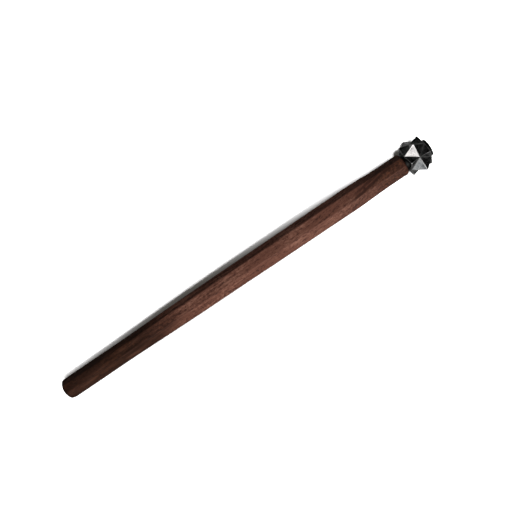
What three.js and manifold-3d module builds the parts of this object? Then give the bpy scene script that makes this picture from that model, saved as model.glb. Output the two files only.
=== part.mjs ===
// A mace: an eight-sided hardwood haft that carries a cast metal head with twelve spikes.
// It lies at rest on a flat surface, on two spike tips and one arris of the butt.
// Millimetres and degrees, +Z up. The haft runs along +X, butt to head, and the origin is under the
// middle of the mace, on the surface that it lies on.

import * as THREE from 'three';
import { mergeVertices } from 'three/addons/utils/BufferGeometryUtils.js';
import Module from 'manifold-3d';

const wasm = await Module();
wasm.setup();

// Lengths along the haft, counted from the butt end.
const TOTAL_LENGTH = 600;
const BUTT_DOME_LENGTH = 8;
const GRIP_END = 90;
const WAIST_END = 230;
const SWELL_AT = 470;
const NECK_AT = 528;

// The haft's width across flats at those places.
const HAFT_SIDES = 8;
const GRIP_WIDTH = 28.4;
const WAIST_WIDTH = 31.1;
const SWELL_WIDTH = 33;
const NECK_WIDTH = 29.7;
const SHOULDER_CHAMFER = { length: 3.2, depth: 2 };

// The head. Heights are from the middle of the head, along the haft, towards the top.
const SPIKES_ROUND = 4;
const COLLAR_TOP = 21;
const COLLAR_BOTTOM = -20;
const COLLAR_RADIUS = 12.6;
const COLLAR_EDGE = 0.8;
const LARGE_TIP_RADIUS = 29.4;
const SMALL_TIP = { radius: 22.7, height: 15 };
const WAIST_VALLEY_RADIUS = 17.9;
const RING_VALLEY = { radius: 15.3, height: 16.4 };

// The fit of head and haft, and the flat spots that the mace lies on.
const BORE_RADIUS = 9.8;
const GAP = 0.3;
const CUT_OVERRUN = 1;
const FLAT_SPOT_DEPTH = 0.25;

// How finely the curves are cut into flats.
const ROUND_SIDES = 48;
const DOME_STEPS = 6;
const TAPER_STEPS = 5;
const EDGE_STEPS = 3;

const HEAD_MIDDLE = TOTAL_LENGTH - COLLAR_TOP;
const SHOULDER_AT = HEAD_MIDDLE + COLLAR_BOTTOM - GAP;
const TENON_RADIUS = BORE_RADIUS - GAP;

const hardwood = new THREE.MeshStandardMaterial({ color: 0x6b4638, roughness: 0.45, metalness: 0 });
const darkSteel = new THREE.MeshStandardMaterial({ color: 0x4a4c50, roughness: 0.28, metalness: 1 });

/** Radius of an arris of the haft, from the width across its flats. */
function arrisRadius(widthAcrossFlats) {
  return widthAcrossFlats / 2 / Math.cos(Math.PI / HAFT_SIDES);
}

/** Radius on a rounded corner: `along` runs from 0, the outer end, to 1, where full radius is reached. */
function roundedCorner(along) {
  return Math.sqrt(1 - (1 - along) ** 2);
}

/** The haft's half profile: points (radius, place along the haft) from butt centre to shoulder centre. */
function haftProfile() {
  const points = [];
  const gripRadius = arrisRadius(GRIP_WIDTH);
  for (let i = 0; i <= DOME_STEPS; i += 1) {
    const turn = (i / DOME_STEPS) * Math.PI / 2;
    points.push(new THREE.Vector2(gripRadius * Math.sin(turn), BUTT_DOME_LENGTH * (1 - Math.cos(turn))));
  }
  const addTaper = (fromAt, fromWidth, toAt, toWidth, steps) => {
    for (let i = 1; i <= steps; i += 1) {
      const along = i / steps;
      const width = THREE.MathUtils.lerp(fromWidth, toWidth, THREE.MathUtils.smoothstep(along, 0, 1));
      points.push(new THREE.Vector2(arrisRadius(width), THREE.MathUtils.lerp(fromAt, toAt, along)));
    }
  };
  points.push(new THREE.Vector2(gripRadius, GRIP_END));
  addTaper(GRIP_END, GRIP_WIDTH, WAIST_END, WAIST_WIDTH, TAPER_STEPS);
  points.push(new THREE.Vector2(arrisRadius(SWELL_WIDTH), SWELL_AT));
  addTaper(SWELL_AT, SWELL_WIDTH, NECK_AT, NECK_WIDTH, TAPER_STEPS);
  const neckRadius = arrisRadius(NECK_WIDTH);
  points.push(new THREE.Vector2(neckRadius, SHOULDER_AT - SHOULDER_CHAMFER.length));
  points.push(new THREE.Vector2(neckRadius - SHOULDER_CHAMFER.depth, SHOULDER_AT));
  points.push(new THREE.Vector2(0, SHOULDER_AT));
  return points;
}

/** A solid of revolution, or a faceted one with few sides, turned so that its axis is +X. */
function turned(profile, sides) {
  const geometry = new THREE.LatheGeometry(profile, sides);
  geometry.rotateZ(-Math.PI / 2);
  return geometry;
}

/** A plain round bar along +X. */
function roundBar(radius, fromAt, toAt) {
  const profile = [
    new THREE.Vector2(0, fromAt), new THREE.Vector2(radius, fromAt),
    new THREE.Vector2(radius, toAt), new THREE.Vector2(0, toAt),
  ];
  return turned(profile, ROUND_SIDES);
}

/** The head's socket tube before boring: a bar with rounded outer edges. */
function socketBar() {
  const profile = [new THREE.Vector2(0, COLLAR_BOTTOM)];
  for (let i = 0; i <= EDGE_STEPS; i += 1) {
    const along = i / EDGE_STEPS;
    const radius = COLLAR_RADIUS - COLLAR_EDGE * (1 - roundedCorner(along));
    profile.push(new THREE.Vector2(radius, COLLAR_BOTTOM + COLLAR_EDGE * along));
  }
  for (let i = EDGE_STEPS; i >= 0; i -= 1) {
    const along = i / EDGE_STEPS;
    const radius = COLLAR_RADIUS - COLLAR_EDGE * (1 - roundedCorner(along));
    profile.push(new THREE.Vector2(radius, COLLAR_TOP - COLLAR_EDGE * along));
  }
  profile.push(new THREE.Vector2(0, COLLAR_TOP));
  return turned(profile, ROUND_SIDES);
}

/** A point at an angle round the +X axis, counted from straight down towards -Y. */
function pointRound(along, radius, angle) {
  return new THREE.Vector3(along, -radius * Math.sin(angle), -radius * Math.cos(angle));
}

/** Adds triangles to a list of corners, all facing away from a point inside the solid. */
function addFacingOut(corners, triangles, inside) {
  for (const [a, b, c] of triangles) {
    const normal = b.clone().sub(a).cross(c.clone().sub(a));
    const outward = normal.dot(a.clone().sub(inside)) > 0;
    for (const corner of outward ? [a, b, c] : [a, c, b]) corners.push(corner.x, corner.y, corner.z);
  }
}

/**
 * The twelve spikes as one closed body. Small spikes stand in rows at every quarter turn from straight
 * down, one above and one below the middle, and large spikes stand halfway between those rows.
 */
function spikedBody() {
  const quarter = 2 * Math.PI / SPIKES_ROUND;
  const middle = new THREE.Vector3(0, 0, 0);
  const valley = (k) => pointRound(0, WAIST_VALLEY_RADIUS, k * quarter);
  const ring = (k, side) => pointRound(side * RING_VALLEY.height, RING_VALLEY.radius, (k + 0.5) * quarter);
  const corners = [];
  for (let k = 0; k < SPIKES_ROUND; k += 1) {
    const largeTip = pointRound(0, LARGE_TIP_RADIUS, (k + 0.5) * quarter);
    for (const side of [-1, 1]) {
      const smallTip = pointRound(side * SMALL_TIP.height, SMALL_TIP.radius, k * quarter);
      addFacingOut(corners, [
        [largeTip, valley(k), ring(k, side)],
        [largeTip, ring(k, side), valley(k + 1)],
        [smallTip, valley(k), ring(k, side)],
        [smallTip, ring(k - 1, side), valley(k)],
        [smallTip, ring(k, side), ring(k - 1, side)],
        [ring(k, side), ring(k - 1, side), new THREE.Vector3(side * RING_VALLEY.height, 0, 0)],
      ], middle);
    }
  }
  const geometry = new THREE.BufferGeometry();
  geometry.setAttribute('position', new THREE.Float32BufferAttribute(corners, 3));
  return geometry;
}

/** A closed three.js geometry as a solid that can be joined and cut. */
function solidOf(geometry) {
  const bare = geometry.index ? geometry.toNonIndexed() : geometry.clone();
  bare.deleteAttribute('normal');
  bare.deleteAttribute('uv');
  const merged = mergeVertices(bare);
  return new wasm.Manifold(new wasm.Mesh({
    numProp: 3,
    vertProperties: new Float32Array(merged.attributes.position.array),
    triVerts: new Uint32Array(merged.index.array),
  }));
}

/** A solid as a three.js geometry. */
function geometryOf(solid) {
  const mesh = solid.getMesh();
  const geometry = new THREE.BufferGeometry();
  geometry.setAttribute('position', new THREE.Float32BufferAttribute(mesh.vertProperties, 3));
  geometry.setIndex(Array.from(mesh.triVerts));
  geometry.computeVertexNormals();
  return geometry;
}

/** The haft: the eight-sided body with an arris straight down, and its round tenon. */
function haftGeometry() {
  const body = solidOf(turned(haftProfile(), HAFT_SIDES));
  const tenon = solidOf(roundBar(TENON_RADIUS, SHOULDER_AT - TENON_RADIUS, TOTAL_LENGTH));
  return geometryOf(body.add(tenon));
}

/** The head: spikes and socket joined, then bored through for the tenon. */
function headGeometry() {
  const bore = solidOf(roundBar(BORE_RADIUS, COLLAR_BOTTOM - CUT_OVERRUN, COLLAR_TOP + CUT_OVERRUN));
  const geometry = geometryOf(solidOf(spikedBody()).add(solidOf(socketBar())).subtract(bore));
  geometry.translate(HEAD_MIDDLE, 0, 0);
  return geometry;
}

/**
 * The turn and shift that lay the mace down. Three points touch the surface: the tip of one large spike,
 * the tip of the small spike next to it on the butt's side, and the butt's lowest arris.
 */
function lyingPose() {
  const largeTip = pointRound(HEAD_MIDDLE, LARGE_TIP_RADIUS, Math.PI / SPIKES_ROUND);
  const smallTip = pointRound(HEAD_MIDDLE - SMALL_TIP.height, SMALL_TIP.radius, 0);
  const butt = pointRound(BUTT_DOME_LENGTH, arrisRadius(GRIP_WIDTH), 0);
  const up = smallTip.clone().sub(butt).cross(largeTip.clone().sub(butt)).normalize();
  if (up.z < 0) up.negate();
  const along = new THREE.Vector3(1, 0, 0);
  along.addScaledVector(up, -along.dot(up)).normalize();
  const across = up.clone().cross(along);
  const pose = new THREE.Matrix4().makeBasis(along, across, up).transpose();
  const surface = butt.clone().applyMatrix4(pose).z + FLAT_SPOT_DEPTH;
  return new THREE.Matrix4().makeTranslation(0, 0, -surface).multiply(pose);
}

/** Lays a piece down and takes off the flat spots where it meets the surface. */
function laidDown(geometry) {
  const below = new THREE.BoxGeometry(2 * TOTAL_LENGTH, TOTAL_LENGTH, TOTAL_LENGTH);
  below.translate(0, 0, -TOTAL_LENGTH / 2);
  return geometryOf(solidOf(geometry.clone().applyMatrix4(lyingPose())).subtract(solidOf(below)));
}

/** A named piece of the mace, in place. */
function piece(name, geometry, material) {
  const mesh = new THREE.Mesh(laidDown(geometry), material);
  mesh.name = name;
  return mesh;
}

const mace = new THREE.Group();
mace.add(piece('haft', haftGeometry(), hardwood));
mace.add(piece('mace_head', headGeometry(), darkSteel));

const middle = new THREE.Box3().setFromObject(mace).getCenter(new THREE.Vector3());
mace.position.set(-middle.x, -middle.y, 0);

export default mace;
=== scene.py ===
"""A mace lying at rest: an eight-sided hardwood haft and a cast metal head with twelve spikes.

Everything is in metres and +Z up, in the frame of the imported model. The haft runs along +X, butt to
head. Each piece is shaped in the haft's own frame, whose +X axis is the middle line of the haft and
starts at the butt end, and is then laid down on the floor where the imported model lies.
"""

import logging
import math
from collections.abc import Iterable
from dataclasses import dataclass
from enum import Enum

import bmesh
import bpy
from mathutils import Matrix, Vector, geometry, noise

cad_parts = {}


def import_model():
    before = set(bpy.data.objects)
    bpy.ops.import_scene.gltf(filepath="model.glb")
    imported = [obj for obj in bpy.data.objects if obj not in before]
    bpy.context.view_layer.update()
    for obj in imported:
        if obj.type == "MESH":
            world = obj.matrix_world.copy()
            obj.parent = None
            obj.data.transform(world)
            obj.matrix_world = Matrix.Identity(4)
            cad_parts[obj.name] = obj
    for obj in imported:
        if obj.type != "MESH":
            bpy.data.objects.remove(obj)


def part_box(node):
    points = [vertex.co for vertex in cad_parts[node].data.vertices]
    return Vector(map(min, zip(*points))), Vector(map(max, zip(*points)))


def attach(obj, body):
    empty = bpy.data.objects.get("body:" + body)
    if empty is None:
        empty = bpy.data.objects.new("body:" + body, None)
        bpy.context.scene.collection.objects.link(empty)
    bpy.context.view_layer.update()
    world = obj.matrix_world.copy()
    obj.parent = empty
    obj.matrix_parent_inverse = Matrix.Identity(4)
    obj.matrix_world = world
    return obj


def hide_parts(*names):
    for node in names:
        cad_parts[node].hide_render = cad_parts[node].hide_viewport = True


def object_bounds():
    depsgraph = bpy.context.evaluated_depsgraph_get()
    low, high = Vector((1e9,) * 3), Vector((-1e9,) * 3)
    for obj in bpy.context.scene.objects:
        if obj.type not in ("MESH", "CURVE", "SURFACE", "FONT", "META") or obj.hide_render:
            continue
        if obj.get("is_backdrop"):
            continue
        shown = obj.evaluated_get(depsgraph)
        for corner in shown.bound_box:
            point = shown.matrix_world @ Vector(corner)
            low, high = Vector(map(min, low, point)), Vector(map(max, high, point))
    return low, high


LOG = logging.getLogger("mace")

MM = 0.001
ROOT_BODY = "root"
WELD = 0.001 * MM

Colour = tuple[float, float, float]
Source = "float | Channel | bpy.types.NodeSocket"


# ---------------------------------------------------------------------------------------------------
# Sizes
# ---------------------------------------------------------------------------------------------------


@dataclass(frozen=True)
class HaftSizes:
    """The haft's driving sizes. Places are counted along the haft from the butt end."""

    sides: int = 8
    dome_length: float = 8 * MM
    grip_end: float = 90 * MM
    waist_end: float = 230 * MM
    swell_at: float = 470 * MM
    neck_at: float = 528 * MM
    shoulder_at: float = 558.7 * MM
    tenon_end: float = 600 * MM
    grip_width: float = 28.4 * MM
    waist_width: float = 31.1 * MM
    swell_width: float = 33 * MM
    neck_width: float = 29.7 * MM
    chamfer_length: float = 3.2 * MM
    chamfer_depth: float = 2 * MM
    tenon_radius: float = 9.5 * MM

    def arris_radius(self, width: float) -> float:
        """Returns the distance from the middle line to an arris, from the width across flats."""
        return width / 2 / math.cos(math.pi / self.sides)


@dataclass(frozen=True)
class HeadSizes:
    """The head's driving sizes. Heights are counted from its middle, along the haft."""

    middle_at: float = 579 * MM
    spikes_round: int = 4
    collar_top: float = 21 * MM
    collar_bottom: float = -20 * MM
    collar_radius: float = 12.6 * MM
    collar_edge: float = 0.8 * MM
    bore_radius: float = 9.8 * MM
    large_tip_radius: float = 29.4 * MM
    small_tip_radius: float = 22.7 * MM
    small_tip_height: float = 15 * MM
    valley_radius: float = 17.9 * MM
    ring_radius: float = 15.3 * MM
    ring_height: float = 16.4 * MM


HAFT = HaftSizes()
HEAD = HeadSizes()
FLAT_SPOT_DEPTH = 0.25 * MM


def point_round(along: float, radius: float, angle: float) -> Vector:
    """A point in the haft's frame, at an angle round its axis.

    Args:
        along: Place along the haft.
        radius: Distance from the middle line.
        angle: Angle from straight down, towards -Y, in radians.

    Returns:
        The point.
    """
    return Vector((along, -radius * math.sin(angle), -radius * math.cos(angle)))


def lying_place() -> Matrix:
    """Works out how the mace lies on the floor.

    It touches the floor with the tip of one large spike, with the tip of the small spike next to it
    on the butt's side, and with the lowest arris of the butt, each worn to a small flat spot. Where
    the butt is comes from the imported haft's box.

    Returns:
        The matrix that takes a point from the haft's frame to the model's frame.
    """
    large_tip = point_round(HEAD.middle_at, HEAD.large_tip_radius, math.pi / HEAD.spikes_round)
    small_tip = point_round(HEAD.middle_at - HEAD.small_tip_height, HEAD.small_tip_radius, 0)
    butt = point_round(HAFT.dome_length, HAFT.arris_radius(HAFT.grip_width), 0)
    up = (small_tip - butt).cross(large_tip - butt).normalized()
    if up.z < 0:
        up.negate()
    along = (Vector((1, 0, 0)) - up * up.x).normalized()
    turn = Matrix((along, up.cross(along), up)).to_4x4()
    low, high = (Vector(corner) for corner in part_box("haft"))
    height = -(turn @ butt).z - FLAT_SPOT_DEPTH
    return Matrix.Translation((low.x, (low.y + high.y) / 2, height)) @ turn


# ---------------------------------------------------------------------------------------------------
# Shader building
# ---------------------------------------------------------------------------------------------------


class Channel:
    """A number that changes over a surface: a socket with arithmetic written as Python operators."""

    def __init__(self, sheet: "NodeSheet", socket: bpy.types.NodeSocket) -> None:
        """Wraps a socket.

        Args:
            sheet: The sheet that the socket's node is on.
            socket: The output socket.
        """
        self.sheet = sheet
        self.socket = socket

    def _math(self, operation: str, *values: Source) -> "Channel":
        """Adds a Math node.

        Args:
            operation: The node's operation.
            values: Its inputs in order.

        Returns:
            The node's result.
        """
        node = self.sheet.node("ShaderNodeMath", {"operation": operation}, dict(enumerate(values)))
        return Channel(self.sheet, node.outputs[0])

    def __add__(self, other: Source) -> "Channel":
        """Returns self + other."""
        return self._math("ADD", self, other)

    __radd__ = __add__

    def __sub__(self, other: Source) -> "Channel":
        """Returns self - other."""
        return self._math("SUBTRACT", self, other)

    def __rsub__(self, other: Source) -> "Channel":
        """Returns other - self."""
        return self._math("SUBTRACT", other, self)

    def __mul__(self, other: Source) -> "Channel":
        """Returns self * other."""
        return self._math("MULTIPLY", self, other)

    __rmul__ = __mul__

    def step(self, low: float, high: float) -> "Channel":
        """Rises smoothly from 0 where the channel is low to 1 where it is high.

        Args:
            low: The value that gives 0.
            high: The value that gives 1; it may be smaller than low.

        Returns:
            The smooth step.
        """
        settings = {"interpolation_type": "SMOOTHSTEP"}
        values = {"Value": self, "From Min": low, "From Max": high}
        node = self.sheet.node("ShaderNodeMapRange", settings, values)
        return Channel(self.sheet, node.outputs["Result"])


class NodeSheet:
    """A node tree that is filled in one node at a time."""

    def __init__(self, tree: bpy.types.NodeTree) -> None:
        """Takes a tree over and empties it.

        Args:
            tree: The node tree.
        """
        self.tree = tree
        self.tree.nodes.clear()

    def node(
        self, kind: str, settings: dict | None = None, inputs: dict | None = None
    ) -> bpy.types.Node:
        """Adds a node.

        Args:
            kind: The node's type.
            settings: Its properties, set first.
            inputs: The values, sockets or channels of its inputs, by name or number.

        Returns:
            The node.
        """
        node = self.tree.nodes.new(kind)
        for name, value in (settings or {}).items():
            setattr(node, name, value)
        for key, value in (inputs or {}).items():
            self.feed(node.inputs[key], value)
        return node

    def feed(self, socket: bpy.types.NodeSocket, value: object) -> None:
        """Links something into an input socket, or sets the socket to a plain value.

        Args:
            socket: The input socket.
            value: The channel, output socket or plain value.
        """
        if isinstance(value, Channel):
            value = value.socket
        if isinstance(value, bpy.types.NodeSocket):
            self.tree.links.new(value, socket)
        else:
            socket.default_value = value

    def parts(self, vector: bpy.types.NodeSocket) -> tuple[Channel, Channel, Channel]:
        """Takes a vector apart.

        Args:
            vector: The vector's socket.

        Returns:
            Its X, Y and Z.
        """
        node = self.node("ShaderNodeSeparateXYZ", inputs={0: vector})
        x, y, z = (Channel(self, socket) for socket in node.outputs)
        return x, y, z

    def vector(self, x: Source, y: Source, z: Source) -> bpy.types.NodeSocket:
        """Returns a vector joined from three numbers or channels."""
        return self.node("ShaderNodeCombineXYZ", inputs={0: x, 1: y, 2: z}).outputs[0]

    def noise(
        self, vector: bpy.types.NodeSocket, per_metre: Colour, detail: float = 3,
        roughness: float = 0.5, distortion: float = 0, shift: float = 0,
    ) -> Channel:
        """Smooth noise, mostly between 0.3 and 0.7.

        Args:
            vector: Where the surface is, in metres.
            per_metre: How many features fit in a metre along each axis.
            detail: How many finer layers are added.
            roughness: How strong the finer layers are.
            distortion: How far the pattern is pulled about.
            shift: Moves the pattern, so that two of one size aren't alike.

        Returns:
            The noise.
        """
        place = self.node(
            "ShaderNodeMapping", inputs={"Vector": vector, "Location": (shift,) * 3, "Scale": per_metre}
        )
        inputs = {
            "Vector": place.outputs[0], "Scale": 1.0, "Detail": detail,
            "Roughness": roughness, "Distortion": distortion,
        }
        return Channel(self, self.node("ShaderNodeTexNoise", inputs=inputs).outputs[0])

    def painted(self, attribute: str) -> Channel:
        """Returns a number that the mesh holds at its points."""
        node = self.node("ShaderNodeAttribute", {"attribute_name": attribute})
        return Channel(self, node.outputs["Fac"])

    def blend(self, factor: Source, first: object, second: object) -> bpy.types.NodeSocket:
        """Mixes two colours.

        Args:
            factor: How much of the second colour shows.
            first: The colour or socket that shows where factor is 0.
            second: The colour or socket that shows where factor is 1.

        Returns:
            The mixed colour's socket.
        """
        node = self.node("ShaderNodeMix", {"data_type": "RGBA", "clamp_factor": True})
        self.feed(node.inputs[0], factor)
        for socket, colour in ((node.inputs[6], first), (node.inputs[7], second)):
            self.feed(socket, (*colour, 1) if isinstance(colour, tuple) else colour)
        return node.outputs[2]

    def relief(self, height: Channel, depth: float, below: object = None) -> bpy.types.NodeSocket:
        """Bumps the surface.

        Args:
            height: The relief, from 0 to 1.
            depth: The height in metres that 1 stands for.
            below: The normal of another relief that this one is laid over.

        Returns:
            The bumped normal.
        """
        inputs = {"Height": height, "Distance": depth, "Strength": 1.0}
        if below is not None:
            inputs["Normal"] = below
        return self.node("ShaderNodeBump", inputs=inputs).outputs[0]


class SurfaceSheet(NodeSheet):
    """The nodes of one material, with a Principled shader that its finish fills in."""

    def __init__(self, name: str) -> None:
        """Makes a material with an empty Principled shader.

        Args:
            name: The material's name.
        """
        self.material = bpy.data.materials.new(name)
        self.material.use_nodes = True
        super().__init__(self.material.node_tree)
        self.shader = self.node("ShaderNodeBsdfPrincipled")
        self.node("ShaderNodeOutputMaterial", inputs={"Surface": self.shader.outputs[0]})
        self.position = self.node("ShaderNodeTexCoord").outputs["Object"]

    def finish(self, inputs: dict) -> bpy.types.Material:
        """Fills in the Principled shader.

        Args:
            inputs: The values, colours or sockets of its inputs, by name.

        Returns:
            The material.
        """
        for name, value in inputs.items():
            self.feed(self.shader.inputs[name], (*value, 1) if isinstance(value, tuple) else value)
        return self.material


# ---------------------------------------------------------------------------------------------------
# Finishes
# ---------------------------------------------------------------------------------------------------


@dataclass(frozen=True)
class Vein:
    """A dark streak in the wood of the haft's upper side.

    Its ends are given as places along and across the haft, from the haft's middle. It fades out over
    `fade` on either side of each end.
    """

    start: tuple[float, float]
    end: tuple[float, float]
    half_width: float
    fade: float = 12 * MM


@dataclass(frozen=True)
class HardwoodFinish:
    """Dense red-brown hardwood, rubbed with oil, darkened by hands at the butt and under the head.

    The butt is dark up to `grip_end` and clears over `grip_fade`; the neck is dark over `neck_length`
    below the shoulder. `rim` and `chamfer` are the distances from the butt's end and from the shoulder
    over which those edges darken; the chamfer's darkening is painted shade where the haft goes into
    the head. `vein_height` gives the heights over which the veins come in. The grain starts to run out
    sideways `runout_start` past the middle of the mace, towards the head. Each `wander` is how far a
    border wavers.
    """

    name: str = "hardwood"
    heart: Colour = (0.044, 0.017, 0.012)
    body: Colour = (0.12, 0.048, 0.032)
    pale: Colour = (0.22, 0.104, 0.072)
    amber: Colour = (0.21, 0.072, 0.034)
    soot: Colour = (0.0135, 0.006, 0.0032)
    grip_end: float = 105 * MM
    grip_fade: float = 115 * MM
    neck_length: float = 120 * MM
    rim: tuple[float, float] = (1 * MM, 9 * MM)
    chamfer: tuple[float, float] = (2.2 * MM, 3.4 * MM)
    vein_height: tuple[float, float] = (18 * MM, 24 * MM)
    vein_wander: float = 4 * MM
    butt_wander: float = 90 * MM
    neck_wander: float = 150 * MM
    neck_streak_wander: float = 90 * MM
    amber_share_of_neck: float = 0.6
    runout_start: float = 70 * MM
    runout_length: float = 160 * MM
    runout_slope: float = 0.16
    gloss: float = 0.06
    pore_depth: float = 0.06 * MM
    tool_mark_depth: float = 0.15 * MM
    veins: tuple[Vein, ...] = (
        Vein((173 * MM, -0.8 * MM), (246 * MM, 10.2 * MM), 2.5 * MM),
        Vein((180 * MM, 5 * MM), (226 * MM, 11.5 * MM), 2.2 * MM),
        Vein((-186 * MM, -3 * MM), (-120 * MM, -1 * MM), 2.4 * MM),
    )

    def vein_cover(self, x: Channel, y: Channel, wander: Channel) -> Source:
        """Finds how much the veins cover the wood.

        Args:
            x: Place along the haft, from its middle.
            y: Place across the haft, from its middle line.
            wander: Noise about 0.5 that makes the veins waver.

        Returns:
            The cover, from 0 to 1.
        """
        cover = 0.0
        for vein in self.veins:
            slope = (vein.end[1] - vein.start[1]) / (vein.end[0] - vein.start[0])
            across = y - (x - vein.start[0]) * slope - vein.start[1] + (wander - 0.5) * self.vein_wander
            lengthwise = x.step(vein.start[0] - vein.fade, vein.start[0] + vein.fade)
            lengthwise = lengthwise * x.step(vein.end[0] + vein.fade, vein.end[0] - vein.fade)
            cover = (across * across).step(vein.half_width ** 2, 0) * lengthwise + cover
        return cover

    def material(self) -> bpy.types.Material:
        """Builds the wood, with its grain along +X.

        Returns:
            The material.
        """
        sheet = SurfaceSheet(self.name)
        low, high = (Vector(corner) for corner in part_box("haft"))
        shoulder = high.x - (HAFT.tenon_end - HAFT.shoulder_at)
        x, y, z = sheet.parts(sheet.position)
        past = x - self.runout_start
        runout = past.step(0, self.runout_length) * past * self.runout_slope
        grain = sheet.vector(x, y - runout, z + runout * 0.5)
        bands = sheet.noise(grain, (7, 90, 90), detail=4, roughness=0.6, distortion=0.5)
        streaks = sheet.noise(grain, (22, 300, 300), detail=4, roughness=0.65, distortion=0.4, shift=3)
        fibres = sheet.noise(grain, (110, 1100, 1100), detail=3, roughness=0.7, shift=7)
        pores = sheet.noise(grain, (230, 2100, 2100), detail=2, roughness=0.5, shift=11)
        mottle = sheet.noise(grain, (260, 420, 420), detail=3, roughness=0.7, shift=31)
        patches = sheet.noise(sheet.position, (20, 60, 60), detail=3, roughness=0.55, shift=19)
        open_pore = pores.step(0.58, 0.66)
        tone = bands * 0.2 + streaks * 0.24 + fibres * 0.26 + mottle * 0.3
        colour = sheet.blend(tone.step(0.42, 0.5), self.heart, self.body)
        colour = sheet.blend((tone * 0.75 + patches * 0.25).step(0.49, 0.59), colour, self.pale)
        colour = sheet.blend(open_pore * 0.6, colour, self.heart)
        grip_end = low.x + self.grip_end
        butt = (x + (patches - 0.5) * self.butt_wander).step(grip_end + self.grip_fade, grip_end)
        wandering = x + (patches - 0.5) * self.neck_wander + (streaks - 0.5) * self.neck_streak_wander
        veined = self.vein_cover(x - (low.x + high.x) / 2, y - (low.y + high.y) / 2, streaks)
        colour = sheet.blend(veined * z.step(*self.vein_height) * 0.9, colour, self.heart)
        neck = wandering.step(shoulder - self.neck_length, shoulder)
        rim = x.step(low.x + self.rim[1], low.x + self.rim[0])
        rusty = (mottle * 0.5 + patches * 0.5).step(0.5, 0.58)
        amber_length = self.neck_length * self.amber_share_of_neck
        ends = butt * 0.6 + x.step(shoulder - amber_length, shoulder) * 0.75
        colour = sheet.blend(rusty * ends, colour, self.amber)
        handled = butt * (1.13 - streaks * 0.6) + neck * (0.95 - mottle * 0.6)
        colour = sheet.blend(handled, colour, self.soot)
        colour = sheet.blend(rim * 0.6, colour, self.soot)
        # Each arris is painted paler, partly as wear and partly as a highlight, less so at the dark butt.
        colour = sheet.blend(sheet.painted("arris") * (1 - butt * 0.8) * 0.22, colour, self.pale)
        # The chamfer at the shoulder is darkened: painted shade where the haft goes into the head.
        chamfer = x.step(shoulder - self.chamfer[1], shoulder - self.chamfer[0])
        colour = sheet.blend(chamfer * 0.6, colour, self.heart)
        marks = sheet.noise(sheet.position, (35, 160, 160), detail=2, roughness=0.4, shift=23)
        normal = sheet.relief(marks, self.tool_mark_depth)
        normal = sheet.relief(1 - open_pore * 0.8 + fibres * 0.4, self.pore_depth, normal)
        return sheet.finish({
            "Base Color": colour,
            "Roughness": 0.56 + (patches - 0.5) * 0.2 + open_pore * 0.15 - butt * 0.08,
            "Normal": normal,
            "Specular IOR Level": self.gloss,
        })


@dataclass(frozen=True)
class DarkSteelFinish:
    """Cast metal, ground and polished facet by facet and darkened. Its ridges are painted paler,
    partly as wear and partly as a highlight; its valleys take grime and its whole collar is
    darkened as painted shade.
    """

    name: str = "dark_steel"
    dark: Colour = (0.026, 0.027, 0.028)
    bare: Colour = (0.08, 0.08, 0.081)
    wear_and_highlight_colour: Colour = (0.72, 0.72, 0.71)
    grime_and_collar_shade: Colour = (0.012, 0.012, 0.011)
    grinding_depth: float = 0.025 * MM
    unevenness_depth: float = 0.16 * MM

    def material(self) -> bpy.types.Material:
        """Builds the metal.

        Returns:
            The material.
        """
        sheet = SurfaceSheet(self.name)
        cloud = sheet.noise(sheet.position, (260, 260, 260), detail=4, roughness=0.65)
        speck = sheet.noise(sheet.position, (1100, 1100, 1100), detail=3, roughness=0.6, shift=5)
        scratch = sheet.noise(sheet.position, (420, 3200, 900), detail=2, roughness=0.6, shift=9)
        swell = sheet.noise(sheet.position, (95, 95, 95), detail=1, roughness=0.3, shift=13)
        ridge = sheet.painted("ridge")
        recess = sheet.painted("recess")
        # Ridges are painted paler and rougher: partly bare-metal wear, partly a painted highlight.
        wear_and_highlight = (ridge * (0.5 + cloud)).step(0.12, 0.6)
        hazy = (cloud * 0.5 + speck * 0.5).step(0.5, 0.62)
        colour = sheet.blend((cloud * 0.55 + speck * 0.45).step(0.4, 0.6), self.dark, self.bare)
        colour = sheet.blend(wear_and_highlight * 0.8, colour, self.wear_and_highlight_colour)
        # Valleys take a grime colour, and the whole collar takes it too as painted shade.
        colour = sheet.blend(recess * 0.92, colour, self.grime_and_collar_shade)
        normal = sheet.relief(swell, self.unevenness_depth)
        normal = sheet.relief(scratch * 0.6 + speck * 0.4, self.grinding_depth, normal)
        return sheet.finish({
            "Base Color": colour,
            "Metallic": 1.0,
            "Roughness": 0.1 + hazy * 0.16 + recess * 0.3 + wear_and_highlight * 0.32,
            "Normal": normal,
        })


@dataclass(frozen=True)
class PaperFinish:
    """White studio paper. It shows bright, and throws only a little light back at what lies on it."""

    name: str = "studio_paper"
    shown: Colour = (0.9, 0.9, 0.9)
    thrown: Colour = (0.11, 0.11, 0.11)
    roughness: float = 0.9

    def material(self) -> bpy.types.Material:
        """Builds the paper.

        Returns:
            The material.
        """
        sheet = SurfaceSheet(self.name)
        seen = sheet.node("ShaderNodeLightPath").outputs["Is Camera Ray"]
        colour = sheet.blend(seen, self.thrown, self.shown)
        return sheet.finish({"Base Color": colour, "Roughness": self.roughness, "Specular IOR Level": 0.0})


# ---------------------------------------------------------------------------------------------------
# Mesh helpers
# ---------------------------------------------------------------------------------------------------


def finished(name: str, shape: bmesh.types.BMesh) -> bpy.types.Object:
    """Makes a smooth object of a shape, with points that coincide welded into one.

    Args:
        name: The object's name.
        shape: The shape, already in the model's frame. It is freed.

    Returns:
        The object.
    """
    bmesh.ops.remove_doubles(shape, verts=shape.verts, dist=WELD)
    bmesh.ops.dissolve_degenerate(shape, edges=shape.edges, dist=WELD)
    for face in shape.faces:
        face.smooth = True
    mesh = bpy.data.meshes.new(name)
    shape.to_mesh(mesh)
    shape.free()
    made = bpy.data.objects.new(name, mesh)
    bpy.context.scene.collection.objects.link(made)
    return made


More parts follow.
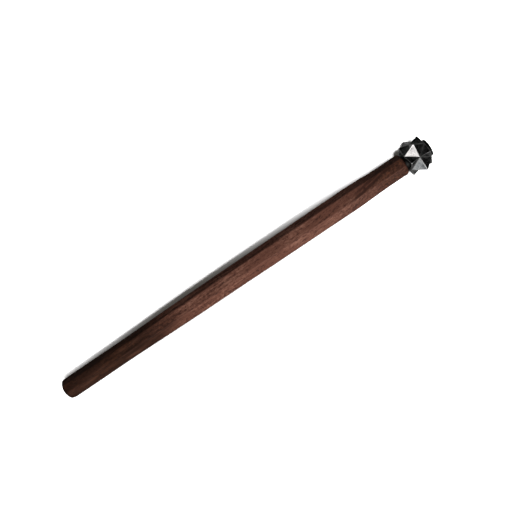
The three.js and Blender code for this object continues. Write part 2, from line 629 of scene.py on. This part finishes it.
def laid_on_floor(shape: bmesh.types.BMesh) -> None:
    """Lays a shape down and takes off what would be below the floor, which leaves its flat spots.

    Args:
        shape: The shape, in the haft's frame.
    """
    bmesh.ops.transform(shape, matrix=lying_place(), verts=shape.verts)
    everything = [*shape.verts, *shape.edges, *shape.faces]
    bmesh.ops.bisect_plane(
        shape, geom=everything, dist=WELD, plane_co=(0, 0, 0), plane_no=(0, 0, -1), clear_outer=True
    )
    rims = [edge for edge in shape.edges if edge.is_boundary]
    bmesh.ops.holes_fill(shape, edges=rims, sides=0)


def closeness(point: Vector, lines: Iterable[tuple[Vector, Vector]], reach: float) -> float:
    """How near a point is to the nearest of some lines.

    Args:
        point: The point.
        lines: The lines' end points.
        reach: The distance at which the result has fallen to nothing.

    Returns:
        1 on a line, falling smoothly to 0 at the reach.
    """
    nearest = reach
    for start, end in lines:
        foot, along = geometry.intersect_point_line(point, start, end)
        foot = start.lerp(end, min(max(along, 0.0), 1.0))
        nearest = min(nearest, (foot - point).length)
    return (1 - nearest / reach) ** 2


# ---------------------------------------------------------------------------------------------------
# The haft
# ---------------------------------------------------------------------------------------------------


@dataclass(frozen=True)
class Section:
    """A cross-section of the haft: where it is, half its width, and how round it is (0 to 1)."""

    at: float
    half_width: float
    roundness: float


@dataclass(frozen=True)
class Haft(HaftSizes):
    """The hardwood haft, hand-planed to eight sides, with a domed butt and a tenon in the head.

    `flat_cuts` and `arris_cuts` are mesh faces across each flat and round each arris. An arris is as
    round as `arris_roundness` says, against a full circle's 1, and at the chamfer's end it is as round
    as `shoulder_roundness` says. The middle line bows sideways by `sway`, and the flats wander in and
    out by `unevenness`, as the hand left them; both fade in over `worked_after` past the dome and out
    over `worked_before` ahead of the chamfer. An arris is painted paler from `wear_and_highlight_from`
    of the way across a side, partly as wear and partly as a highlight.
    """

    flat_cuts: int = 7
    arris_cuts: int = 5
    arris_roundness: float = 0.1
    spacing: float = 2.5 * MM
    dome_steps: int = 14
    chamfer_steps: int = 6
    shoulder_roundness: float = 0.25
    tenon_edge: float = 0.5 * MM
    sway: float = 0.5 * MM
    unevenness: float = 0.16 * MM
    worked_after: float = 60 * MM
    worked_before: float = 15 * MM
    wear_and_highlight_from: float = 0.45

    def width(self, at: float) -> float:
        """The width across flats between the dome and the shoulder.

        Args:
            at: The place along the haft.

        Returns:
            The width.
        """
        stretches = (
            (self.grip_end, self.waist_end, self.grip_width, self.waist_width),
            (self.waist_end, self.swell_at, self.waist_width, self.swell_width),
            (self.swell_at, self.neck_at, self.swell_width, self.neck_width),
        )
        width = self.grip_width
        for start, end, first, last in stretches:
            along = min(max((at - start) / (end - start), 0.0), 1.0)
            eased = along if start == self.waist_end else along * along * (3 - 2 * along)
            width += (last - first) * eased
        return width

    def sections(self) -> list[Section]:
        """Lists the haft's sections in order, from the butt's middle to the tenon's end.

        Returns:
            The sections.
        """
        made = []
        for i in range(1, self.dome_steps + 1):
            turn = i / self.dome_steps * math.pi / 2
            at = self.dome_length * (1 - math.cos(turn))
            roundness = 1 + (self.arris_roundness - 1) * math.sin(turn) ** 4
            made.append(Section(at, self.grip_width / 2 * math.sin(turn), roundness))
        chamfer_at = self.shoulder_at - self.chamfer_length
        count = round((chamfer_at - self.dome_length) / self.spacing)
        for i in range(1, count):
            at = self.dome_length + (chamfer_at - self.dome_length) * i / count
            made.append(Section(at, self.width(at) / 2, self.arris_roundness))
        for i in range(self.chamfer_steps + 1):
            turn = i / self.chamfer_steps * math.pi / 2
            at = chamfer_at + self.chamfer_length * math.sin(turn)
            inward = self.chamfer_depth * (1 - math.cos(turn))
            rounder = self.shoulder_roundness - self.arris_roundness
            roundness = self.arris_roundness + rounder * math.sin(turn)
            made.append(Section(at, self.neck_width / 2 - inward, roundness))
        made.append(Section(self.shoulder_at, self.tenon_radius + self.tenon_edge, 0.9))
        made.append(Section(self.shoulder_at, self.tenon_radius, 1))
        made.append(Section(self.tenon_end - self.tenon_edge, self.tenon_radius, 1))
        made.append(Section(self.tenon_end, self.tenon_radius - self.tenon_edge, 1))
        made.append(Section(self.tenon_end, self.tenon_radius / 2, 1))
        return made

    def places_round(self) -> list[tuple[int, float]]:
        """Returns each point round a section: its side, and its place from -1 to 1 across that side.

        Places near -1 and 1 are on the rounded arris.
        """
        cuts = self.flat_cuts + self.arris_cuts
        return [(side, 2 * (i + 0.5) / cuts - 1) for side in range(self.sides) for i in range(cuts)]

    def outline_point(self, section: Section, side: int, place: float) -> Vector:
        """A point on a section's outline, before the middle line's sway.

        Args:
            section: The section.
            side: Which of the haft's sides, counted from the one next to straight down.
            place: From -1 to 1 across the side, its share of arris included.

        Returns:
            The point in the haft's frame.
        """
        half_side = math.pi / self.sides
        radius = section.half_width * section.roundness
        flat_half = (section.half_width - radius) * math.tan(half_side)
        flat_share = self.flat_cuts / (self.flat_cuts + self.arris_cuts)
        if abs(place) <= flat_share:
            across, out = flat_half * place / flat_share, section.half_width
        else:
            turn = (abs(place) - flat_share) / (1 - flat_share) * half_side
            across = math.copysign(flat_half + radius * math.sin(turn), place)
            out = section.half_width - radius + radius * math.cos(turn)
        reach = math.hypot(out, across)
        return point_round(section.at, reach, (2 * side + 1) * half_side + math.atan2(across, out))

    def worked(self, point: Vector) -> Vector:
        """A point as the plane and the hand left it.

        Args:
            point: A point on the true outline, in the haft's frame.

        Returns:
            The point moved a little in or out, and sideways with the middle line.
        """
        chamfer_at = self.shoulder_at - self.chamfer_length
        body = min(max((point.x - self.dome_length * 2) / self.worked_after, 0), 1)
        body *= min(max((chamfer_at - point.x) / self.worked_before, 0), 1)
        outward = Vector((0, point.y, point.z)).normalized()
        wander = noise.noise(Vector((point.x * 16, point.y * 75, point.z * 75)))
        wander += 0.5 * noise.noise(Vector((point.x * 45, point.y * 170 + 9, point.z * 170)))
        bow = self.sway * math.sin(math.pi * min(point.x / self.shoulder_at, 1.0))
        return point + outward * (wander - 0.5) * self.unevenness * body + Vector((0, bow * body, 0))

    def build(self) -> bpy.types.Object:
        """Builds the haft and lays it down.

        Returns:
            The object, still bare.
        """
        shape = bmesh.new()
        arris = shape.verts.layers.float.new("arris")
        places = self.places_round()
        ring = bmesh.ops.create_circle(shape, segments=len(places), radius=1)["verts"]
        edges = list({edge for vertex in ring for edge in vertex.link_edges})
        for number, section in enumerate(self.sections()):
            if number:
                made = bmesh.ops.extrude_edge_only(shape, edges=edges)["geom"]
                edges = [item for item in made if isinstance(item, bmesh.types.BMEdge)]
                ring = self._follow(ring, edges)
            for vertex, (side, place) in zip(ring, places):
                vertex.co = self.worked(self.outline_point(section, side, place))
                # How far into the arris a point lies, where the wood is painted paler, partly as wear and
                # partly as a highlight.
                wear_and_highlight = max(0.0, (abs(place) - self.wear_and_highlight_from) / (1 - self.wear_and_highlight_from)) ** 2
                vertex[arris] = wear_and_highlight * (section.roundness < 0.5)
        rims = [edge for edge in shape.edges if edge.is_boundary]
        bmesh.ops.holes_fill(shape, edges=rims, sides=0)
        caps = [face for face in shape.faces if len(face.verts) > 4]
        bmesh.ops.poke(shape, faces=caps)
        bmesh.ops.recalc_face_normals(shape, faces=shape.faces)
        laid_on_floor(shape)
        made = finished("hardwood_haft", shape)
        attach(made, ROOT_BODY)
        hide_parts("haft")
        return made

    def dress(self, piece: bpy.types.Object, finish: HardwoodFinish) -> None:
        """Gives the haft its wood."""
        piece.data.materials.append(finish.material())

    @staticmethod
    def _follow(ring: list, edges: list) -> list:
        """Puts an extruded ring in the order of the ring that it came from.

        Args:
            ring: The vertices that were extruded, in order.
            edges: The new ring's edges.

        Returns:
            The new ring's vertices, in the same order.
        """
        fresh = {vertex for edge in edges for vertex in edge.verts}
        order = []
        for vertex in ring:
            others = (edge.other_vert(vertex) for edge in vertex.link_edges)
            order.append(next(other for other in others if other in fresh))
        return order


# ---------------------------------------------------------------------------------------------------
# The head
# ---------------------------------------------------------------------------------------------------


@dataclass(frozen=True)
class MaceHead(HeadSizes):
    """The cast head: twelve pyramids raised on one body, with a collar at each end and a through bore.

    A spike's tip is worn off `tip_wear` down its ridges, and an edge's rounding starts
    `ridge_rounding` back from it. Next to that a strip as wide as `facet_margin` keeps the facet flat,
    and one as wide as `marked_strip_width` carries the marks: along a ridge it is painted paler,
    partly as wear and partly as a highlight, and along a valley it takes grime. The whole collar is
    darkened as painted shade.
    """

    tip_wear: float = 1.0 * MM
    ridge_rounding: float = 0.45 * MM
    facet_margin: float = 0.12 * MM
    marked_strip_width: float = 0.8 * MM
    round_sides: int = 96
    edge_segments: int = 4
    facet_size: float = 3 * MM
    merge_distance: float = 0.01 * MM

    def spiked_body(self) -> bmesh.types.BMesh:
        """Raises the twelve spikes on a cube whose corners are cut to the middles of its edges.

        Returns:
            The body, centred on the haft's middle line.
        """
        shape = bmesh.new()
        bmesh.ops.create_cube(shape, size=2)
        bmesh.ops.bevel(
            shape, geom=shape.verts[:], offset=50, offset_type="PERCENT", affect="VERTICES",
            segments=1, profile=0.5, material=-1, clamp_overlap=False,
        )
        bmesh.ops.remove_doubles(shape, verts=shape.verts, dist=0.01)
        bmesh.ops.dissolve_degenerate(shape, edges=shape.edges, dist=0.01)
        for vertex in shape.verts:
            if abs(vertex.co.x) > 0.5:
                outward = Vector((0, vertex.co.y, vertex.co.z)).normalized() * self.ring_radius
                vertex.co = outward + Vector((math.copysign(self.ring_height, vertex.co.x), 0, 0))
            else:
                vertex.co = vertex.co.normalized() * self.valley_radius
        eighth = Matrix.Rotation(math.pi / self.spikes_round, 4, "X")
        bmesh.ops.transform(shape, matrix=eighth, verts=shape.verts)
        ends = 0.5 * self.ring_height
        raised = [face for face in shape.faces if len(face.verts) == 3
                  or abs(face.calc_center_median().x) < ends]
        for tip in bmesh.ops.poke(shape, faces=raised)["verts"]:
            outward = Vector((0, tip.co.y, tip.co.z)).normalized()
            if abs(tip.co.x) < 0.1 * self.ring_height:
                tip.co = outward * self.large_tip_radius
            else:
                height = math.copysign(self.small_tip_height, tip.co.x)
                tip.co = outward * self.small_tip_radius + Vector((height, 0, 0))
        return shape

    def turned_bar(self, radius: float, start: float, end: float, edge: float) -> bmesh.types.BMesh:
        """A round bar along the haft's middle line.

        Args:
            radius: Its radius.
            start: Where it starts, from the head's middle.
            end: Where it ends.
            edge: How far its end edges are rounded back.

        Returns:
            The bar.
        """
        shape = bmesh.new()
        turn = Matrix.Rotation(math.pi / 2, 4, "Y")
        place = Matrix.Translation(((start + end) / 2, 0, 0)) @ turn
        bmesh.ops.create_cone(
            shape, cap_ends=True, segments=self.round_sides, radius1=radius, radius2=radius,
            depth=end - start, matrix=place,
        )
        if edge:
            rims = [e for e in shape.edges if e.calc_face_angle() > math.radians(60)]
            bmesh.ops.bevel(
                shape, geom=rims, offset=edge, affect="EDGES", segments=self.edge_segments, profile=0.5,
                material=-1,
            )
        return shape

    def joined(self, first: bmesh.types.BMesh, second: bmesh.types.BMesh, how: str) -> bmesh.types.BMesh:
        """Joins or cuts two closed shapes.

        Args:
            first: The shape that stays. It is freed.
            second: The shape that is added or taken away. It is freed.
            how: UNION or DIFFERENCE.

        Returns:
            The result.
        """
        objects = []
        for shape in (first, second):
            mesh = bpy.data.meshes.new("work")
            shape.to_mesh(mesh)
            shape.free()
            made = bpy.data.objects.new("work", mesh)
            bpy.context.scene.collection.objects.link(made)
            objects.append(made)
        cut = objects[0].modifiers.new("join", "BOOLEAN")
        cut.operation = how
        cut.solver = "EXACT"
        cut.object = objects[1]
        result = bmesh.new()
        result.from_object(objects[0], bpy.context.evaluated_depsgraph_get())
        for made in objects:
            mesh = made.data
            bpy.data.objects.remove(made)
            bpy.data.meshes.remove(mesh)
        return result

    def build(self) -> bpy.types.Object:
        """Builds the head and lays it down.

        Returns:
            The object, still bare.
        """
        body = self.spiked_body()
        ridges = self._lines(body, convex=True)
        valleys = self._lines(body, convex=False)
        low, high = self.collar_bottom, self.collar_top
        socket = self.turned_bar(self.collar_radius, low, high, self.collar_edge)
        bore = self.turned_bar(self.bore_radius, low - MM, high + MM, 0)
        shape = self.joined(self.joined(body, socket, "UNION"), bore, "DIFFERENCE")
        self._round_edges(shape)
        self._note_ridges_and_recesses(shape, ridges, valleys)
        bmesh.ops.translate(shape, vec=(self.middle_at, 0, 0), verts=shape.verts)
        laid_on_floor(shape)
        made = finished("spiked_mace_head", shape)
        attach(made, ROOT_BODY)
        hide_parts("mace_head")
        return made

    def dress(self, piece: bpy.types.Object, finish: DarkSteelFinish) -> None:
        """Gives the head its metal."""
        piece.data.materials.append(finish.material())

    @staticmethod
    def _lines(shape: bmesh.types.BMesh, convex: bool) -> list[tuple[Vector, Vector]]:
        """Lists a shape's ridges or its valleys.

        Args:
            shape: The shape.
            convex: True for the ridges and False for the valleys.

        Returns:
            The lines' end points.
        """
        bmesh.ops.recalc_face_normals(shape, faces=shape.faces)
        return [
            tuple(vertex.co.copy() for vertex in edge.verts)
            for edge in shape.edges if (edge.calc_face_angle_signed() > 0) == convex
        ]

    def _round_edges(self, shape: bmesh.types.BMesh) -> None:
        """Wears off the tips and rounds the edges, with a flat strip round each facet and a strip that
        carries the paler ridges and darker valleys.

        Args:
            shape: The head's shape, centred on its middle.
        """
        bmesh.ops.remove_doubles(shape, verts=shape.verts, dist=self.merge_distance)
        bmesh.ops.dissolve_limit(
            shape, angle_limit=math.radians(1), verts=shape.verts, edges=shape.edges
        )
        tips = [vertex for vertex in shape.verts if self._is_tip(vertex)]
        bmesh.ops.bevel(
            shape, geom=tips, offset=self.tip_wear, affect="VERTICES", segments=1, profile=0.5, material=-1
        )
        sharp = [edge for edge in shape.edges if edge.calc_face_angle(0) > math.radians(12)]
        bmesh.ops.bevel(
            shape, geom=sharp, offset=self.ridge_rounding, affect="EDGES", segments=self.edge_segments,
            profile=0.5, material=-1, clamp_overlap=True,
        )
        large = self.facet_size ** 2
        for strip in (self.facet_margin, self.marked_strip_width):
            facets = [face for face in shape.faces if face.calc_area() > large]
            bmesh.ops.inset_individual(shape, faces=facets, thickness=strip)

    def _is_tip(self, vertex: bmesh.types.BMVert) -> bool:
        """Tells whether a vertex is the tip of a spike.

        Args:
            vertex: The vertex, with the head's middle at the origin.

        Returns:
            True for a tip.
        """
        reach = 0.99 * math.hypot(self.small_tip_radius, self.small_tip_height)
        return vertex.co.length > reach and math.hypot(vertex.co.y, vertex.co.z) > self.ring_radius * 1.2

    def _note_ridges_and_recesses(self, shape: bmesh.types.BMesh, ridges: list, valleys: list) -> None:
        """Notes at each point how near it is to a ridge and to a recess; the collar counts as a full
        recess, which darkens it as painted shade.

        Args:
            shape: The head's shape.
            ridges: End points of its ridges.
            valleys: End points of its valleys.
        """
        ridge = shape.verts.layers.float.new("ridge")
        recess = shape.verts.layers.float.new("recess")
        reach = self.ridge_rounding + self.facet_margin + self.marked_strip_width
        for vertex in shape.verts:
            from_axis = math.hypot(vertex.co.y, vertex.co.z)
            # The collar counts as a full recess and no ridge, so the metal darkens it all over: painted
            # shade.
            on_collar = from_axis < self.collar_radius * 1.01 and abs(vertex.co.x) > self.small_tip_height
            vertex[ridge] = 0 if on_collar else closeness(vertex.co, ridges, reach)
            vertex[recess] = 1 if on_collar else closeness(vertex.co, valleys, reach)


# ---------------------------------------------------------------------------------------------------
# The studio
# ---------------------------------------------------------------------------------------------------

WHITE: Colour = (1, 1, 1)
WARM: Colour = (1, 0.955, 0.95)
COOL: Colour = (0.93, 0.97, 1)
WARM_WASH: Colour = (1, 0.94, 0.82)


def hung(
    lamp: bpy.types.Light, azimuth: float, elevation: float, distance: float, faced: Vector,
    lit: bpy.types.Collection,
) -> bpy.types.Object:
    """Hangs a lamp up so that it faces a point, and lets it light only some objects.

    Args:
        lamp: The lamp's data.
        azimuth: Where it hangs, in degrees round from +X, as seen from the point.
        elevation: How high it hangs, in degrees.
        distance: How far it is from the point.
        faced: The point.
        lit: The collection of what it lights.

    Returns:
        The light.
    """
    turn, rise = math.radians(azimuth), math.radians(elevation)
    away = Vector((math.cos(turn) * math.cos(rise), math.sin(turn) * math.cos(rise), math.sin(rise)))
    made = bpy.data.objects.new(lamp.name, lamp)
    made.location = faced + away * distance
    made.rotation_euler = away.to_track_quat("Z", "Y").to_euler()
    made.visible_camera = False
    bpy.context.scene.collection.objects.link(made)
    made.light_linking.receiver_collection = lit
    return made


@dataclass(frozen=True)
class StudioSun:
    """A far, soft light, equally strong all over the floor. Its `softness` is its width in degrees."""

    name: str
    azimuth: float
    elevation: float
    softness: float
    strength: float
    colour: Colour = WHITE

    def build(self, middle: Vector, lit: bpy.types.Collection) -> bpy.types.Object:
        """Sets the light up.

        Args:
            middle: The middle of the mace on the floor.
            lit: The collection of what it lights.

        Returns:
            The light.
        """
        lamp = bpy.data.lights.new(self.name, "SUN")
        lamp.energy = self.strength
        lamp.angle = math.radians(self.softness)
        lamp.color = self.colour
        return hung(lamp, self.azimuth, self.elevation, 1.0, middle, lit)


@dataclass(frozen=True)
class StudioLight:
    """A square softbox that faces the mace.

    Its angles say where it stands, as seen from the point that it faces, which is `along` the haft
    from the middle. `spread` is how wide its beam is in degrees.
    """

    name: str
    azimuth: float
    elevation: float
    distance: float
    size: float
    radiance: float
    along: float = 0
    spread: float = 180
    colour: Colour = WHITE

    def build(self, middle: Vector, lit: bpy.types.Collection) -> bpy.types.Object:
        """Sets the light up.

        Args:
            middle: The middle of the mace on the floor.
            lit: The collection of what it lights.

        Returns:
            The light.
        """
        lamp = bpy.data.lights.new(self.name, "AREA")
        lamp.shape = "SQUARE"
        lamp.size = self.size
        lamp.energy = self.radiance * math.pi * self.size ** 2
        lamp.spread = math.radians(self.spread)
        lamp.color = self.colour
        faced = middle + Vector((self.along, 0, 0))
        return hung(lamp, self.azimuth, self.elevation, self.distance, faced, lit)


@dataclass(frozen=True)
class Camera:
    """The camera. It looks down on the mace from a little to its left side.

    `lean` and `lean_to_head` are degrees from straight down, `roll` is its turn about its own view, and
    `aim_from_middle` is where it points, along and across, from the middle of the mace.
    """

    lens: float = 50
    sensor: float = 36
    distance: float = 0.988
    lean: float = 9.72
    lean_to_head: float = 0.32
    roll: float = 34.09
    aim_from_middle: tuple[float, float] = (22.0 * MM, 6.7 * MM)
    nearest: float = 0.01
    farthest: float = 50

    def build(self, middle: Vector) -> bpy.types.Object:
        """Sets the camera up.

        Args:
            middle: The middle of the mace's box.

        Returns:
            The camera.
        """
        data = bpy.data.cameras.new("camera")
        data.lens = self.lens
        data.sensor_width = self.sensor
        data.clip_start = self.nearest
        data.clip_end = self.farthest
        made = bpy.data.objects.new("camera", data)
        aim = Vector((middle.x, middle.y, 0)) + Vector((*self.aim_from_middle, 0))
        lean = math.tan(math.radians(self.lean))
        lean_to_head = math.tan(math.radians(self.lean_to_head))
        away = Vector((lean_to_head, lean, 1)).normalized()
        level_right = (Vector((1, 0, 0)) - away * away.x).normalized()
        level = Matrix((level_right, away.cross(level_right), away)).transposed()
        turned = level @ Matrix.Rotation(-math.radians(self.roll), 3, "Z")
        made.location = aim + away * self.distance
        made.rotation_euler = turned.to_euler()
        bpy.context.scene.collection.objects.link(made)
        bpy.context.scene.camera = made
        return made


class Lit(Enum):
    """What a light is for. It leaves everything else alone."""

    HAFT = "lit_haft"
    HEAD = "lit_head"
    FLOOR = "lit_floor"


class Studio:
    """A white paper floor in a dim room. The haft, the head and the floor have lights of their own."""

    floor_size = 16.0
    seen_past_the_floor = 1.0
    dimness = 0.05
    lights = (
        (Lit.HAFT, StudioLight("key_softbox", -90, 69, 1.1, 0.6, 11.4)),
        (Lit.HAFT, StudioLight("side_softbox", -88, 32, 0.6, 0.25, 9, along=0.22)),
        (Lit.HEAD, StudioLight("facet_softbox", -136.5, 37, 2.2, 1.0, 8.8, colour=WARM)),
        (Lit.HEAD, StudioLight("second_facet_softbox", -174, 50, 1.5, 0.45, 3.1, along=0.27, colour=COOL)),
        (Lit.HEAD, StudioLight("head_key_softbox", -90, 66, 1.1, 0.6, 5.2, along=0.27)),
        (Lit.FLOOR, StudioSun("floor_sun", -90, 79.4, 11.8, 3.7)),
        (Lit.FLOOR, StudioLight("head_end_lamp", 90, 84, 0.36, 0.1, 31, along=0.34, spread=96)),
        (Lit.FLOOR, StudioLight("butt_end_lamp", 90, 85, 0.2, 0.07, 8, along=-0.322, spread=94)),
        (Lit.FLOOR, StudioSun("floor_wash", -90, 85, 120, 0.43, colour=WARM_WASH)),
    )

    def __init__(self) -> None:
        """Makes a collection for each thing that is lit on its own."""
        self.lit = {lit: bpy.data.collections.new(lit.value) for lit in Lit}

    def build(self, middle: Vector) -> None:
        """Sets up floor, lights, room and camera.

        Args:
            middle: The middle of the mace's box.
        """
        shape = bmesh.new()
        bmesh.ops.create_grid(shape, x_segments=1, y_segments=1, size=self.floor_size / 2)
        floor = finished("studio_floor", shape)
        floor.data.materials.append(PaperFinish().material())
        floor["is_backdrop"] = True
        self.light_up(floor, Lit.FLOOR)
        on_floor = Vector((middle.x, middle.y, 0))
        for lit, light in self.lights:
            light.build(on_floor, self.lit[lit])
        self._room()
        Camera().build(middle)
        bpy.context.scene.view_settings.view_transform = "Standard"

    def light_up(self, piece: bpy.types.Object, lit: Lit) -> None:
        """Puts an object in the lights that are for it."""
        self.lit[lit].objects.link(piece)

    def _room(self) -> None:
        """Makes the room: white where it is seen past the floor, and dim in the light that it gives."""
        world = bpy.data.worlds.new("studio")
        world.use_nodes = True
        bpy.context.scene.world = world
        sheet = NodeSheet(world.node_tree)
        giving, seen = (
            sheet.node("ShaderNodeBackground", inputs={"Color": (grey, grey, grey, 1)})
            for grey in (self.dimness, self.seen_past_the_floor)
        )
        looking = sheet.node("ShaderNodeLightPath").outputs["Is Camera Ray"]
        inputs = {0: looking, 1: giving.outputs[0], 2: seen.outputs[0]}
        choice = sheet.node("ShaderNodeMixShader", inputs=inputs)
        sheet.node("ShaderNodeOutputWorld", inputs={"Surface": choice.outputs[0]})


def main() -> None:
    """Builds the mace and the studio."""
    logging.basicConfig(level=logging.INFO, format="%(name)s: %(message)s")
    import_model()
    cad_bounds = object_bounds()
    middle = (cad_bounds[0] + cad_bounds[1]) / 2
    studio = Studio()
    studio.build(middle)
    for sub_assembly, finish, lit in (
        (Haft(), HardwoodFinish(), Lit.HAFT), (MaceHead(), DarkSteelFinish(), Lit.HEAD),
    ):
        piece = sub_assembly.build()
        sub_assembly.dress(piece, finish)
        studio.light_up(piece, lit)
        LOG.info("%s: %d faces", piece.name, len(piece.data.polygons))


if __name__ == "__main__":
    main()
